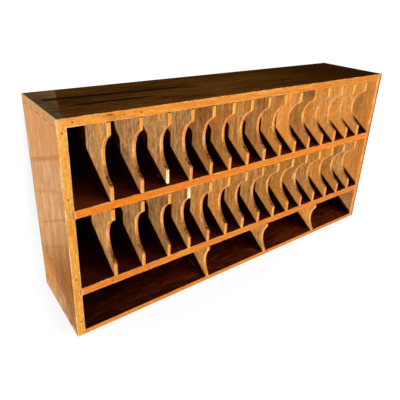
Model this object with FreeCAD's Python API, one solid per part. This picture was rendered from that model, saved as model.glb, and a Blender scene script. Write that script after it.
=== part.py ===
"""Pigeonhole mail sorter: an open-fronted wooden case, through-dovetailed at its four corners.

Two shelves housed in the sides make three rows. The upper and the middle row are split into
sixteen pigeonholes each by thin upright dividers, and the low bottom row is split into four
wide bays. Every divider has a scooped front edge for the fingers, and tongues that slide into
grooves which stop short of the front, so that the boards' front edges stay whole. A thin panel,
nailed into a rebate, closes the back.

The frame: X runs along the width, the open front faces -Y, Z is up. The origin is on the
ground under the middle of the case. All lengths are in millimetres.
"""
import FreeCAD, Part
import os

os.makedirs("parts", exist_ok=True)

# ---------------------------------------------------------------- driving dimensions
overall_width = 1219.0
overall_depth = 267.0

# Boards.
side_thickness = 22.0
top_thickness = 22.0
shelf_thickness = 22.0
bottom_thickness = 15.0
divider_thickness = 9.0
panel_thickness = 6.0

# Clear heights of the three rows.
upper_row_clear = 205.0
middle_row_clear = 205.0
lower_row_clear = 115.0

# Clear widths of a row's first holes, from the left, and of its last hole, at the right.
# The holes between them share equally what is left.
upper_first_widths = (92.5, 75.0, 72.5, 62.5)
upper_last_width = 61.5
middle_first_widths = (92.5, 75.5, 74.0)
middle_last_width = 56.0
lower_first_widths = (407.0, 247.0)
lower_last_width = 243.0
upper_hole_count = 16
middle_hole_count = 16
lower_bay_count = 4

# The finger scoop in a divider's front edge: a circular bite between a foot and a head.
tall_foot_height = 40.0
tall_head_height = 35.0
tall_scoop_depth = 41.5
low_foot_height = 10.0
low_head_height = 15.0
low_scoop_depth = 16.5
scoop_lip_radius = 9.0
largest_lip_share = 0.8

# Joints between the boards.
tail_count = 5
tail_width = 29.0
tail_slope = 7.0
shelf_housing_depth = 7.0
groove_depth = 5.0
groove_stop = 16.0
rebate_depth = 7.0

# Clearances.
groove_play = 0.1
groove_end_gap = 1.0
head_gap = 2.5
panel_play = 0.5

# Rounding of the arrises.
case_rounding = 1.5
board_rounding = 0.8
divider_rounding = 0.7

# Old damage: the front of one foot and of one head has split off down to a flat break.
broken_foot_divider = 3
broken_foot_setback = 9.0
broken_head_divider = 4
broken_head_setback = 10.0

# Nails.
nail_head_radius = 1.5
nail_head_thickness = 0.8
nail_shank_radius = 0.8
nail_length = 22.0
front_nail_sink = 0.5
panel_nail_spacing = 110.0
nail_clear_of_divider = 3.0
nail_height_over_board = 33.0
nail_drop_under_top = 10.0
nail_inside_panel_edge = 4.0
top_nails_from_left = (35.0, 159.0, 204.0)
shelf_nail_from_left = 107.0

# ---------------------------------------------------------------- levels and planes
floor_of_lower_row = bottom_thickness
lower_shelf_underside = floor_of_lower_row + lower_row_clear
floor_of_middle_row = lower_shelf_underside + shelf_thickness
upper_shelf_underside = floor_of_middle_row + middle_row_clear
floor_of_upper_row = upper_shelf_underside + shelf_thickness
top_underside = floor_of_upper_row + upper_row_clear
overall_height = top_underside + top_thickness

left_outside = -overall_width / 2
right_outside = overall_width / 2
left_inside = left_outside + side_thickness
right_inside = right_outside - side_thickness
front = -overall_depth / 2
back = overall_depth / 2
panel_front = back - rebate_depth
panel_back = panel_front + panel_thickness

# The panel reaches as far into the boards as the shelves do, so that their ends line up.
panel_reach = shelf_housing_depth
rebate_width = panel_reach + panel_play

TINY = 1e-6


# ---------------------------------------------------------------- helpers
def block(low, high):
    """A box between two opposite corners."""
    size = [top - bottom for bottom, top in zip(low, high)]
    return Part.makeBox(size[0], size[1], size[2], FreeCAD.Vector(*low))


def prism(outline, direction):
    """A solid made by pushing a closed outline of points along a direction."""
    points = [FreeCAD.Vector(*point) for point in outline]
    face = Part.Face(Part.makePolygon(points + points[:1]))
    return face.extrude(FreeCAD.Vector(*direction))


def straight_edges_on_front(shape):
    """The straight edges of a shape that lie in the plane of the case's front."""
    edges = []
    for edge in shape.Edges:
        on_front = all(abs(vertex.Y - front) < TINY for vertex in edge.Vertexes)
        if on_front and isinstance(edge.Curve, Part.Line):
            edges.append(edge)
    return edges


def round_long_front_arrises(board, rounding):
    """Ease the two long arrises that a board shows at the front."""
    edges = straight_edges_on_front(board)
    longest = max(edge.Length for edge in edges)
    long_edges = [edge for edge in edges if edge.Length > longest - TINY]
    return board.makeFillet(rounding, long_edges)


def rounded_case_envelope():
    """The outer block of the whole case, with every outer arris eased after assembly."""
    envelope = block((left_outside, front, 0), (right_outside, back, overall_height))
    return envelope.makeFillet(case_rounding, envelope.Edges)


def panel_rebate():
    """The space cut out of every board's back for the panel."""
    low = (left_inside - rebate_width, panel_front, bottom_thickness - rebate_width)
    high = (right_inside + rebate_width, back, top_underside + rebate_width)
    return block(low, high)


def tails(hand, low_z, high_z):
    """The row of dovetails at one end of a board. hand is -1 at the left, 1 at the right."""
    pitch = overall_depth / tail_count
    outer_x = hand * overall_width / 2
    shoulder_x = outer_x - hand * side_thickness
    outer_half = tail_width / 2
    shoulder_half = outer_half - side_thickness / tail_slope
    made = []
    for number in range(tail_count):
        middle = front + (number + 0.5) * pitch
        outline = [
            (outer_x, middle - outer_half, low_z),
            (outer_x, middle + outer_half, low_z),
            (shoulder_x, middle + shoulder_half, low_z),
            (shoulder_x, middle - shoulder_half, low_z),
        ]
        made.append(prism(outline, (0, 0, high_z - low_z)))
    return made


def divider_left_faces(first_widths, last_width, hole_count):
    """Left faces of a row's dividers, with equal holes between the first ones and the last."""
    clear_total = right_inside - left_inside - (hole_count - 1) * divider_thickness
    equal_count = hole_count - len(first_widths) - 1
    equal_width = (clear_total - sum(first_widths) - last_width) / equal_count
    faces = []
    place = left_inside
    for width in list(first_widths) + [equal_width] * equal_count:
        place = place + width
        faces.append(place)
        place = place + divider_thickness
    return faces


upper_dividers_at = divider_left_faces(upper_first_widths, upper_last_width, upper_hole_count)
middle_dividers_at = divider_left_faces(middle_first_widths, middle_last_width, middle_hole_count)
lower_dividers_at = divider_left_faces(lower_first_widths, lower_last_width, lower_bay_count)


def grooves(left_faces, low_z, high_z):
    """Grooves for a row of dividers, from the back of a board to a stop behind its front."""
    cuts = []
    for left_face in left_faces:
        low = (left_face - groove_play, front + groove_stop, low_z)
        high = (left_face + divider_thickness + groove_play, back, high_z)
        cuts.append(block(low, high))
    return cuts


# ---------------------------------------------------------------- nails
def nail(head_centre, direction):
    """A flat-headed nail. direction points from its head to its tip."""
    place = FreeCAD.Vector(*head_centre)
    along = FreeCAD.Vector(*direction)
    head = Part.makeCylinder(nail_head_radius, nail_head_thickness, place, along)
    shank = Part.makeCylinder(nail_shank_radius, nail_length, place, along)
    return head.fuse(shank).removeSplitter()


def front_nail_places():
    """Where nails are driven into the case's front edges, as (x, z)."""
    middle_of_left_side = left_outside + side_thickness / 2
    middle_of_top = top_underside + top_thickness / 2
    middle_of_lower_shelf = lower_shelf_underside + shelf_thickness / 2
    places = [
        (middle_of_left_side, floor_of_lower_row + nail_height_over_board),
        (middle_of_left_side, floor_of_middle_row + nail_height_over_board),
        (middle_of_left_side, floor_of_upper_row + nail_height_over_board),
        (middle_of_left_side, top_underside - nail_drop_under_top),
        (left_outside + shelf_nail_from_left, middle_of_lower_shelf),
    ]
    for distance in top_nails_from_left:
        places.append((left_outside + distance, middle_of_top))
    return places


def front_nails():
    """Nails set a little below the front face."""
    head_y = front + front_nail_sink
    return [nail((x, head_y, z), (0, 1, 0)) for x, z in front_nail_places()]


def front_nail_holes():
    """The holes those nails sit in: the nail itself and the short bore above its head."""
    holes = front_nails()
    for x, z in front_nail_places():
        mouth = FreeCAD.Vector(x, front, z)
        holes.append(Part.makeCylinder(nail_head_radius, front_nail_sink, mouth, FreeCAD.Vector(0, 1, 0)))
    return holes


def evenly_spaced(start, end, spacing):
    """Places from start to end, both included, at about the given spacing."""
    steps = max(1, round((end - start) / spacing))
    return [start + (end - start) * step / steps for step in range(steps + 1)]


def beside_dividers(x, left_faces):
    """Move a nail sideways where it would meet the tongue of a divider."""
    reach = divider_thickness / 2 + nail_clear_of_divider
    for left_face in left_faces:
        middle = left_face + divider_thickness / 2
        if abs(x - middle) < reach:
            return middle + reach
    return x


def panel_nails():
    """Nails round the panel's edge and along both shelves. Their heads lie on its back."""
    edge = panel_reach - nail_inside_panel_edge
    left = left_inside - edge
    right = right_inside + edge
    bottom = bottom_thickness - edge
    top = top_underside + edge
    lower_shelf_line = lower_shelf_underside + shelf_thickness / 2
    upper_shelf_line = upper_shelf_underside + shelf_thickness / 2
    places = []
    for x in evenly_spaced(left, right, panel_nail_spacing):
        places.append((beside_dividers(x, lower_dividers_at), bottom))
        places.append((beside_dividers(x, upper_dividers_at), top))
    for x in evenly_spaced(left, right, panel_nail_spacing)[1:-1]:
        places.append((x, lower_shelf_line))
        places.append((x, upper_shelf_line))
    for z in evenly_spaced(bottom, top, panel_nail_spacing)[1:-1]:
        places.append((left, z))
        places.append((right, z))
    head_y = panel_back + nail_head_thickness
    return [nail((x, head_y, z), (0, -1, 0)) for x, z in places]


# ---------------------------------------------------------------- boards
def finish_board(board):
    """Give a board the case's eased outline, the panel's rebate and its nail holes."""
    board = board.common(rounded_case_envelope())
    board = board.cut(panel_rebate())
    board = board.cut(front_nail_holes() + panel_nails())
    return board.removeSplitter()


def side(hand):
    """A side board. Its ends are cut for the tails, its inner face is cut for the shelves."""
    outer_x = hand * overall_width / 2
    inner_x = outer_x - hand * side_thickness
    housing_x = inner_x + hand * shelf_housing_depth
    low_x, high_x = sorted((outer_x, inner_x))
    board = block((low_x, front, 0), (high_x, back, overall_height))
    board = round_long_front_arrises(board, board_rounding)
    cuts = tails(hand, top_underside, overall_height) + tails(hand, 0, bottom_thickness)
    for underside in (lower_shelf_underside, upper_shelf_underside):
        low_x, high_x = sorted((inner_x, housing_x))
        cuts.append(block((low_x, front, underside), (high_x, back, underside + shelf_thickness)))
    return finish_board(board.cut(cuts))


def dovetailed_board(low_z, high_z):
    """A full-width board with a row of tails at each end."""
    board = block((left_inside, front, low_z), (right_inside, back, high_z))
    board = round_long_front_arrises(board, board_rounding)
    return board.fuse(tails(-1, low_z, high_z) + tails(1, low_z, high_z)).removeSplitter()


def top_board():
    """The top, grooved underneath for the heads of the upper dividers."""
    board = dovetailed_board(top_underside, overall_height)
    cuts = grooves(upper_dividers_at, top_underside, top_underside + groove_depth)
    return finish_board(board.cut(cuts))


def bottom_board():
    """The thinner bottom, grooved on top for the feet of the lower dividers."""
    board = dovetailed_board(0, bottom_thickness)
    cuts = grooves(lower_dividers_at, bottom_thickness - groove_depth, bottom_thickness)
    return finish_board(board.cut(cuts))


def shelf(underside, heads_below, feet_above):
    """A shelf whose ends sit in the sides' housings, grooved on both faces for the dividers."""
    topside = underside + shelf_thickness
    low = (left_inside - shelf_housing_depth, front, underside)
    high = (right_inside + shelf_housing_depth, back, topside)
    board = round_long_front_arrises(block(low, high), board_rounding)
    cuts = grooves(heads_below, underside, underside + groove_depth)
    cuts += grooves(feet_above, topside - groove_depth, topside)
    return finish_board(board.cut(cuts))


def back_panel():
    """The thin panel that closes the back, with clearance all round in its rebate."""
    low = (left_inside - panel_reach, panel_front, bottom_thickness - panel_reach)
    high = (right_inside + panel_reach, panel_back, top_underside + panel_reach)
    return block(low, high).cut(panel_nails())


# ---------------------------------------------------------------- dividers
def scoop(low_z, high_z, scoop_depth, left_face):
    """The round bite out of a divider's front, as a cylinder across the divider."""
    half_chord = (high_z - low_z) / 2
    radius = (half_chord ** 2 + scoop_depth ** 2) / (2 * scoop_depth)
    centre = FreeCAD.Vector(left_face, front + scoop_depth - radius, (low_z + high_z) / 2)
    return Part.makeCylinder(radius, divider_thickness, centre, FreeCAD.Vector(1, 0, 0))


def ends_of_scoop(board, low_z, high_z):
    """The two edges across a divider's front where its scoop begins and ends."""
    edges = []
    for edge in straight_edges_on_front(board):
        height = edge.Vertexes[0].Z
        runs_across = abs(edge.Length - divider_thickness) < TINY
        if runs_across and min(abs(height - low_z), abs(height - high_z)) < TINY:
            edges.append(edge)
    return edges


def front_outline_edges(plate, scoop_depth):
    """The edges along both sides of a plate's front, from its foot round the scoop to its head."""
    edges = []
    for edge in plate.Edges:
        ends = edge.Vertexes
        along_the_plate = abs(ends[0].X - ends[-1].X) < TINY
        near_the_front = all(vertex.Y < front + scoop_depth for vertex in ends)
        if along_the_plate and near_the_front:
            edges.append(edge)
    return edges


def divider(left_face, floor_z, row_clear, foot_height, head_height, scoop_depth):
    """An upright divider: a scooped plate with a tongue below it and another above it."""
    right_face = left_face + divider_thickness
    ceiling_z = floor_z + row_clear
    scoop_low = floor_z + foot_height
    scoop_high = ceiling_z - head_height
    plate = block((left_face, front, floor_z), (right_face, panel_front, ceiling_z - head_gap))
    plate = plate.cut(scoop(scoop_low, scoop_high, scoop_depth, left_face))
    lip = min(scoop_lip_radius, largest_lip_share * min(foot_height, head_height))
    plate = plate.makeFillet(lip, ends_of_scoop(plate, scoop_low, scoop_high))
    plate = plate.makeFillet(divider_rounding, front_outline_edges(plate, scoop_depth))
    tongue_front = front + groove_stop + groove_play
    tongue_low = floor_z - groove_depth
    tongue_high = ceiling_z + groove_depth - groove_end_gap
    tongues = block((left_face, tongue_front, tongue_low), (right_face, panel_front, tongue_high))
    behind_scoop = block((left_face, front, scoop_low), (right_face, panel_front, scoop_high))
    tongues = tongues.cut(behind_scoop)
    return plate.fuse(tongues).removeSplitter()


def tall_divider(left_face, floor_z, row_clear):
    """A divider of the upper or the middle row."""
    return divider(left_face, floor_z, row_clear, tall_foot_height, tall_head_height, tall_scoop_depth)


def low_divider(left_face):
    """A divider of the bottom row, with a shallower scoop."""
    floor_z = floor_of_lower_row
    return divider(left_face, floor_z, lower_row_clear, low_foot_height, low_head_height, low_scoop_depth)


def split_off(left_face, setback, low_z, high_z):
    """What is missing from a divider whose front has split off between two heights."""
    return block((left_face, front, low_z), (left_face + divider_thickness, front + setback, high_z))


def upper_divider(number, left_face):
    """A divider of the upper row. The foot of one of them is broken."""
    board = tall_divider(left_face, floor_of_upper_row, upper_row_clear)
    if number == broken_foot_divider:
        middle_z = floor_of_upper_row + upper_row_clear / 2
        board = board.cut(split_off(left_face, broken_foot_setback, floor_of_upper_row, middle_z))
    return board


def middle_divider(number, left_face):
    """A divider of the middle row. The head of one of them is broken."""
    board = tall_divider(left_face, floor_of_middle_row, middle_row_clear)
    if number == broken_head_divider:
        middle_z = floor_of_middle_row + middle_row_clear / 2
        board = board.cut(split_off(left_face, broken_head_setback, middle_z, upper_shelf_underside))
    return board


# ---------------------------------------------------------------- the parts
def write(name, shape):
    """Save one part and print what was made."""
    shape.exportStep("parts/" + name + ".step")
    solids = len(shape.Solids)
    print(name, "solids", solids, "volume", round(shape.Volume), "valid", shape.isValid())


write("left_side", side(-1))
write("right_side", side(1))
write("top_board", top_board())
write("bottom_board", bottom_board())
write("upper_shelf", shelf(upper_shelf_underside, middle_dividers_at, upper_dividers_at))
write("lower_shelf", shelf(lower_shelf_underside, lower_dividers_at, middle_dividers_at))
write("back_panel", back_panel())
for number, left_face in enumerate(upper_dividers_at, start=1):
    write("upper_divider_%02d" % number, upper_divider(number, left_face))
for number, left_face in enumerate(middle_dividers_at, start=1):
    write("middle_divider_%02d" % number, middle_divider(number, left_face))
for number, left_face in enumerate(lower_dividers_at, start=1):
    write("lower_divider_%d" % number, low_divider(left_face))
write("front_edge_nails", Part.makeCompound(front_nails()))
write("back_panel_nails", Part.makeCompound(panel_nails()))
print("case", overall_width, "x", overall_depth, "x", overall_height)
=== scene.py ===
# %% [markdown]
# # An old pigeonhole mail sorter
# The sorter is a long open case: two sides, a top and a bottom dovetailed together, two shelves,
# thirty-three thin dividers with a scooped front, and a thin back. The case arrives from CAD with
# its true shapes, so this lesson is about its finishes: old varnish, worn arrises, end grain,
# weathered faces and two fresh breaks. We could paint all of that on an image, but a pattern that
# is worked out from each point's place in space needs no unwrapping and stays sharp at any size.

# %% Load the frame
import math
from functools import reduce

import bpy
import numpy as np
from mathutils import Matrix, Vector


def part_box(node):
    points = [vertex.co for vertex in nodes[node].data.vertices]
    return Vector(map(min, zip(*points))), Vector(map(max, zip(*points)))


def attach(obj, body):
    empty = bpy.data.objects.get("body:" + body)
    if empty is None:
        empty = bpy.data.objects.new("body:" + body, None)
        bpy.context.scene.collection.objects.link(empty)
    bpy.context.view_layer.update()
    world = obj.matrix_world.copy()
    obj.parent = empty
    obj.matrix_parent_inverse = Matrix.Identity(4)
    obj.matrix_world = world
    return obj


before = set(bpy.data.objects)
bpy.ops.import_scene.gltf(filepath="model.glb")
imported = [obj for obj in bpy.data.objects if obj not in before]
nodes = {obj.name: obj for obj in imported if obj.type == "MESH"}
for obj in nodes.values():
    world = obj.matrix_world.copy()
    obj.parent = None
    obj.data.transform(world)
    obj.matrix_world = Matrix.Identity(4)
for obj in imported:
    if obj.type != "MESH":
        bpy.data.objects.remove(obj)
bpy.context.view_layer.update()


def ready(*helpers):
    """Say which helpers a cell has made."""
    print("made:", ", ".join(helper.__name__ for helper in helpers))


# %% Sizes in millimetres
def box_in_millimetres(name):
    low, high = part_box(name)
    return [c * 1000 for c in low], [c * 1000 for c in high]


case_low = box_in_millimetres("left_side")[0]
case_high = box_in_millimetres("right_side")[1]
front, back = case_low[1], case_high[1]
half_width = round(case_high[0], 1)
side_lining = half_width - 22
case_top = round(case_high[2], 1)
print("the case:", [round(c, 1) for c in case_low], "to", [round(c, 1) for c in case_high])

# %% [markdown]
# ## The camera
# The camera stands to the left of the case and above it, and looks down across its open front.
# A camera could be aimed with a Track To constraint, but we know its place and its two side
# directions, so a matrix with those directions as columns says it all. A small shift downwards
# keeps the case in the middle of the square without tilting the camera.

# %% Make the camera
def into_scene(name, data):
    """Make an object of a mesh, a light or a camera, and put it in the scene."""
    made = bpy.data.objects.new(name, data)
    bpy.context.scene.collection.objects.link(made)
    return made


eye = Vector((-0.8622, -0.9781, 0.8683))
to_the_right = Vector((0.80740, -0.58871, 0.03911)).normalized()
upwards = Vector((0.20504, 0.34212, 0.91701)).normalized()
backwards = to_the_right.cross(upwards)

camera = into_scene("camera", bpy.data.cameras.new("camera"))
turn = Matrix((to_the_right, upwards, backwards)).transposed()
camera.matrix_world = Matrix.Translation(eye) @ turn.to_4x4()
camera.data.sensor_width = 36
camera.data.lens = 36.995
camera.data.shift_y = -0.0815
bpy.context.scene.camera = camera
bpy.context.scene.view_settings.view_transform = "Standard"
print("camera at", [round(c, 3) for c in eye], "lens", camera.data.lens)

# %% [markdown]
# ## Shader maths as plain sums
# A finish is a sum of many small masks: this far from an arris, that noise above a threshold. In
# the node editor each step is a Math node with wires. Here one small class wraps a socket, so that
# `1 - mask * 0.5` writes those nodes for us, and one method adds any other node. The recipe for
# each wood can then be read like a formula.

# %% A socket that can stand in a sum
class Amount:
    """A socket with a number, a colour or a place, which can stand in a Python expression."""

    def __init__(self, recipe, socket):
        self.recipe, self.socket = recipe, socket

    def __add__(self, other):
        return self.recipe.sum("ADD", self, other)

    def __sub__(self, other):
        return self.recipe.sum("SUBTRACT", self, other)

    def __rsub__(self, other):
        return self.recipe.sum("SUBTRACT", other, self)

    def __mul__(self, other):
        return self.recipe.sum("MULTIPLY", self, other)

    def __truediv__(self, other):
        return self.recipe.sum("DIVIDE", self, other)

    def __rtruediv__(self, other):
        return self.recipe.sum("DIVIDE", other, self)

    __radd__ = __add__
    __rmul__ = __mul__


ready(Amount)


# %% A node tree, and the methods that add its nodes
class Recipe:
    """The node tree of a material or of the room, and the methods that add its nodes."""

    def __init__(self, owner, shader):
        owner.use_nodes = True
        self.owner, self.tree = owner, owner.node_tree
        self.shader = self.tree.nodes[shader]

    def node(self, kind, settings=None, values=None, out=0):
        """Add one node: its settings first, then the values or links of its sockets."""
        made = self.tree.nodes.new(kind)
        for name, value in (settings or {}).items():
            setattr(made, name, value)
        for name, value in (values or {}).items():
            self.give(made, name, value)
        return Amount(self, made.outputs[out])

    def give(self, to, name, value):
        """Link a socket of a node to what varies, or set it to a plain value."""
        if isinstance(value, Amount):
            self.tree.links.new(value.socket, to.inputs[name])
        else:
            to.inputs[name].default_value = value

    def feed(self, name, value):
        """Link or set a socket of the shader itself."""
        self.give(self.shader, name, value)

    def sum(self, operation, first, second=0.0):
        return self.node("ShaderNodeMath", {"operation": operation}, {0: first, 1: second})

    def size(self, value):
        """A number without its sign."""
        return self.sum("ABSOLUTE", value)

    def low(self, first, second):
        return self.sum("MINIMUM", first, second)

    def high(self, first, second):
        return self.sum("MAXIMUM", first, second)

    def fade(self, value, start, end, least=0.0, most=1.0):
        """A soft step from least to most while value goes from start to end."""
        ends = {"From Min": start, "From Max": end, "To Min": least, "To Max": most}
        soft = {"interpolation_type": "SMOOTHSTEP"}
        return self.node("ShaderNodeMapRange", soft, {"Value": value, **ends})

    def seen(self):
        """1 for a ray from the camera, or one that metal or glass sends on, and 0 for the light
        that falls on the case."""
        rays = self.node("ShaderNodeLightPath").socket.node.outputs
        kinds = ("Is Camera Ray", "Is Glossy Ray", "Is Transmission Ray")
        return reduce(self.high, [Amount(self, rays[kind]) for kind in kinds])

    def mix(self, share, colour, other):
        """The first colour, with a share of the other colour laid over it."""
        plain = {"data_type": "RGBA", "clamp_factor": True}
        return self.node("ShaderNodeMix", plain, {0: share, 6: colour, 7: other}, out=2)

    def layered(self, colour, *layers):
        """A colour under layers, each a share from 0 to 1 and a colour, with the last on top."""
        for share, other in layers:
            colour = self.mix(share, colour, other)
        return colour

    def dim(self, colour, light):
        """The same colour, darker or lighter."""
        scale = {"operation": "SCALE"}
        return self.node("ShaderNodeVectorMath", scale, {0: colour, "Scale": light})


print("nodes are added by", [name for name in vars(Recipe) if not name.startswith("_")])


# %% A material that knows its place in millimetres
class Finish(Recipe):
    """One material, whose patterns are worked out from the place on the object."""

    def __init__(self, name):
        super().__init__(bpy.data.materials.new(name), "Principled BSDF")
        place = self.node("ShaderNodeTexCoord", out="Object")
        self.point = self.dim(place, 1000.0)
        parts = self.node("ShaderNodeSeparateXYZ", values={0: self.point}).socket.node.outputs
        self.x, self.y, self.z = [Amount(self, part) for part in parts]

    def noise(self, along, length, width, seed, detail=2.0, roughness=0.5, wavy=0.0, lean=0.0):
        """Noise from 0 to 1 that is drawn out to a length along the grain and a width across it.
        A seed moves it to another part of the pattern, and lean tips it about x by an angle."""
        scale = [width] * 3
        scale["XYZ".index(along)] = length
        moved = [part * seed * width for part in (7.31, 3.77, 5.13)]
        place = {"Vector": self.point, "Location": moved, "Rotation": (lean, 0, 0), "Scale": scale}
        place = self.node("ShaderNodeMapping", {"vector_type": "TEXTURE"}, place)
        kind = {"Scale": 1.0, "Detail": detail, "Roughness": roughness, "Distortion": wavy}
        return self.node("ShaderNodeTexNoise", values={"Vector": place, **kind})

    def finish(self, colour, roughness, bump, bump_height, gloss):
        """Feed the shader, and give the material a bump whose heights are in metres. gloss is the
        strength of its mirror part, where 0.5 is fresh varnish and 0 is bare dusty wood."""
        relief = {"Strength": 1.0, "Distance": bump_height, "Height": bump}
        self.feed("Base Color", colour)
        self.feed("Roughness", roughness)
        self.feed("Normal", self.node("ShaderNodeBump", values=relief))
        self.feed("Specular IOR Level", gloss)
        return self.owner


def tint(red, green, blue):
    """A screen colour from 0 to 255 as the linear colour that a shader wants."""
    scaled = np.array([red, green, blue]) / 255
    linear = np.where(scaled > 0.04045, ((scaled + 0.055) / 1.055) ** 2.4, scaled / 12.92)
    return (*[float(c) for c in linear], 1.0)


def brighter(colour, light):
    """A fixed colour times a number, at most 1."""
    return (*[min(1.0, part * light) for part in colour[:3]], 1.0)


print("a mid grey of 128 is", round(tint(128, 128, 128)[0], 3), "in linear light")

# %% [markdown]
# ## Wood figure
# Sawn wood shows the same growth rings three ways: broad bands that wander along the board, thin
# dark lines where a ring ends, and fine fibres with pores. All three are noise that is stretched
# along the grain. The ring lines are the contour lines of the broad noise, as on a map: where the
# noise is steep they run close together, and where it is flat they open into the arches of a
# plain-sawn board. A Wave texture would give evenly spaced lines, which looks printed. In all the
# functions from here on, f is the finish that is being made.

# %% The figure of a board
def figure(f, along, seed, band_width, rings):
    """Bands, ring lines, streaks, fibres and pores, each from 0 to 1, that run along one axis."""
    bands = f.noise(along, band_width * 10, band_width, seed, 2.0, 0.5, 0.8)
    around_ring = f.sum("FRACT", bands * rings)
    lines = f.fade(around_ring, 0.35, 0.95) * f.fade(around_ring, 1.0, 0.95)
    streaks = f.noise(along, 110, 7.0, seed + 2, 4.0, 0.62, 0.3)
    fibres = f.noise(along, 36, 2.2, seed + 4, 3.0, 0.65)
    pores = f.fade(f.noise(along, 11, 0.7, seed + 6, 1.0), 0.58, 0.70)
    return bands, lines, streaks, fibres, pores


class Wood(Finish):
    """The finish of one board: its box, the depth behind the front edges, and its figure."""

    def __init__(self, name, along, seed, band_width, rings):
        super().__init__("wood_" + name)
        self.name, self.seed = name, seed
        self.box = box_in_millimetres(name)
        self.depth_in = self.y - front
        self.parts = figure(self, along, seed, band_width, rings)

    def relief(self, wear=None, share=0.0):
        """The heights of the figure: fibres stand up a little, pores are sunk, wear wears down."""
        _, lines, streaks, fibres, pores = self.parts
        heights = fibres * 0.25 + streaks * 0.15 - pores * 0.35 - lines * 0.1
        return heights if wear is None else heights - wear * share

    def dullness(self, least, most):
        """Roughness that follows the fibres."""
        return self.fade(self.parts[3], 0.3, 0.8, least, most)


def dress(name, material):
    """Give a CAD node its finish."""
    for place in nodes[name].material_slots:
        place.material = material


print("nodes to dress:", len(nodes))

# %% [markdown]
# ## Arrises and faces
# The varnish is thinnest on an arris, and every hand and bag rubs it there, so the first thing that
# tells old work from new is a pale broken line along each edge. A bevel shader could find edges,
# but it is slow and can't be exported. We know each board's box, so the distance to its nearest
# arris is plain arithmetic: of the three distances to its faces, it is the middle one.

# %% Distances on a board
def from_arris(f):
    """Millimetres from the nearest arris of a board: the middle one of the three distances."""
    ends = zip((f.x, f.y, f.z), *f.box)
    first, second, third = [f.low(axis - low, high - axis) for axis, low, high in ends]
    return f.high(f.low(first, second), f.low(f.high(first, second), third))


def worn(f, distance, reach, seed):
    """A broken line of wear, from 1 on the arris to 0 at about the reach, in millimetres."""
    ragged = f.noise("X", 7, 7, seed, 4.0, 0.7)
    patchy = f.noise("X", 45, 45, seed + 1, 2.0, 0.6)
    limit = f.fade(patchy, 0.42, 0.66, 0.15, 1.0) * f.fade(ragged, 0.3, 0.75, 0.1, 1.7) * reach
    return f.fade(distance - limit, 0.35, -0.35)


def on_front(f):
    """1 on the skin of a front edge."""
    return f.fade(f.depth_in, 1.3, 0.5)


top_box = box_in_millimetres("top_board")
print("the top board:", [[round(c, 1) for c in corner] for corner in top_box])

# %% [markdown]
# ## Marks
# A long life leaves marks in places, not all over: a knot here, a scratch there, a stain round each
# nail. An image could hold them, but only at one size. Each mark is instead a small formula, the
# distance to a point or to a line, which a soft step turns into a mask from 0 to 1. Painted shade
# is such a mask too: far in, and under a line as steep as the main light, the wood is coloured
# nearly black, so the slanting shadows in the holes are painted on as well as cast.

# %% Spots, scratches and patches
def spot(f, first, second, middle, reach):
    """An oval spot on two of the axes: 1 at its middle and 0 from its reach on."""
    a = (first - middle[0]) / reach[0]
    b = (second - middle[1]) / reach[1]
    return f.fade(a * a + b * b, 1.0, 0.15)


def scratch(f, first, second, start, end, width):
    """A thin line between two points: how far along it, and how far to its side, fade together."""
    run, rise = end[0] - start[0], end[1] - start[1]
    length = math.hypot(run, rise)
    along = ((first - start[0]) * run + (second - start[1]) * rise) / length
    aside = f.size(((first - start[0]) * rise - (second - start[1]) * run) / length)
    thin = f.fade(aside, width, width * 0.3)
    return thin * f.fade(along, 0, 6) * f.fade(along, length, length - 6)


def patches(f, size, seed, start, end, along="X", stretch=1.0):
    """Cloudy patches of a size in millimetres, 1 inside and 0 outside."""
    return f.fade(f.noise(along, size * stretch, size, seed, 3.0, 0.55), start, end)


ready(spot, scratch, patches)

# %% Painted shade far in and under the main light's slope
light_slope = 0.687


def painted_shadow_mask(f, above_floor, lift=0, deep=(135, 175)):
    """Painted shade: 1 far in, and under a slope from the front as steep as the main light."""
    far_in = f.fade(f.depth_in, *deep)
    return f.high(far_in, f.fade(f.depth_in * light_slope + lift - above_floor, 1, 9))


print("the unwashed wood reaches", round(135 * light_slope), "mm up at a depth of 135 mm")

# %% The nails' stains
nail_places = [(-598.5, 48), (-598.5, 185), (-598.5, 412), (-598.5, 574), (-502.5, 141),
               (-574.5, 595), (-450.5, 595), (-405.5, 595)]
stain_reach = (3.4, 3.4)


def stained(f, edge):
    """A front edge with the dark ring that each rusting nail leaves in it."""
    stains = reduce(f.high, [spot(f, f.x, f.z, place, stain_reach) for place in nail_places])
    return f.mix(stains * 0.7, edge, tint(120, 54, 22))


print("nails with a stain:", len(nail_places))

# %% [markdown]
# ## The case's wood
# The case was varnished in place, and light has turned its front and sides a warm orange. Its top
# and the inside are coloured nearly black as painted shade, for the main light leaves them in
# shadow. One recipe serves all the boards: a pale and a deep colour for the bands, a line colour,
# and masks by distance that choose between front edge, face and inside.

# %% Layers that several finishes share
bare_wood = tint(240, 206, 154)


def banded(f, pale, deep, line, line_share):
    """Colour from the figure: bands between two colours, ring lines and fibres laid over them."""
    bands, lines, streaks, fibres, pores = f.parts
    return f.layered(
        pale,
        (f.fade(streaks * 0.6 + bands * 0.4, 0.42, 0.58), deep),
        (lines * line_share, line),
        (f.fade(fibres, 0.48, 0.72, 0.0, 0.5), line),
        (pores * 0.5, line),
    )


def flecked(f, colour, along, bright, dark):
    """Old varnish on a narrow edge: short bright and dark flecks that lie along the grain."""
    length, width = (26, 5.0) if along == "X" else (11, 3.6)
    flecks = f.noise(along, length, width, f.seed + 30, 3.0, 0.7)
    shiny, grubby = f.fade(flecks, 0.52, 0.70, 0.0, 0.7), f.fade(flecks, 0.46, 0.30, 0.0, 0.7)
    return f.layered(colour, (shiny, bright), (grubby, dark))


print("bare wood is", [round(c, 2) for c in bare_wood[:3]])
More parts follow.
